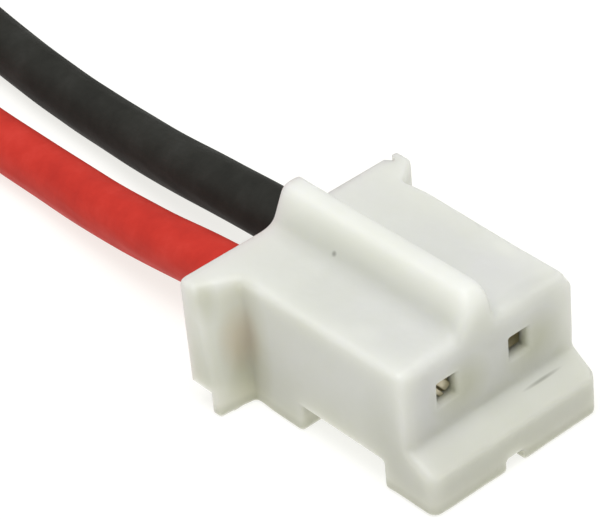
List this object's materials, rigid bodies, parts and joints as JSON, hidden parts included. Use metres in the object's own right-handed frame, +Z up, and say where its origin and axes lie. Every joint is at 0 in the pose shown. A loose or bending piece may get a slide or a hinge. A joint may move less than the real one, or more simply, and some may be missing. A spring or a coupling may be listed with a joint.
{
  "type": "single-cell lithium polymer battery pack",
  "caption": "Flat pouch battery pack with a taped head, protection board, red and black leads and a small white crimp plug.",
  "frame": {"origin": "bottom centre of the pack, where it rests on a surface", "axes": "+X across the pack, +Y from the head with the leads to the tail, +Z up through the pack's thickness"},
  "size_m": [0.0254, 0.0981, 0.0052],
  "materials": {
    "laminate": "satin aluminium laminate",
    "electrode": "matt, dark coated foil",
    "aluminium_tab": "satin",
    "nickel": "bright nickel",
    "tab_sealant": "translucent film",
    "foam": "matt foam",
    "circuit_board": "green solder mask",
    "chip": "matt moulded",
    "ceramic": "matt ceramic",
    "solder": "bright solder",
    "polyimide_tape": "glossy amber film",
    "red_insulation": "satin, soft",
    "black_insulation": "matt, soft",
    "tinned_copper": "tinned strands",
    "white_nylon": "satin, slightly translucent",
    "contact_metal": "tin-plated bronze"
  },
  "bodies": {
    "root": {"pouch_cup": "laminate", "pouch_back_sheet": "laminate", "electrode_roll": "electrode", "positive_tab": "aluminium_tab", "negative_tab": "nickel", "positive_tab_sealant": "tab_sealant", "negative_tab_sealant": "tab_sealant", "positive_weld_plate": "nickel", "negative_weld_plate": "nickel", "foam_pad": "foam", "protection_board": "circuit_board", "protection_chip": "chip", "switch_chip": "chip", "sense_resistor": "chip", "supply_resistor": "chip", "supply_capacitor": "ceramic", "positive_solder_joint": "solder", "negative_solder_joint": "solder", "head_tape": "polyimide_tape", "left_edge_tape": "polyimide_tape", "right_edge_tape": "polyimide_tape", "red_lead_insulation": "red_insulation", "black_lead_insulation": "black_insulation", "red_lead_strands": "tinned_copper", "black_lead_strands": "tinned_copper", "plug_housing": "white_nylon", "positive_contact": "contact_metal", "negative_contact": "contact_metal"}
  },
  "joints": []
}
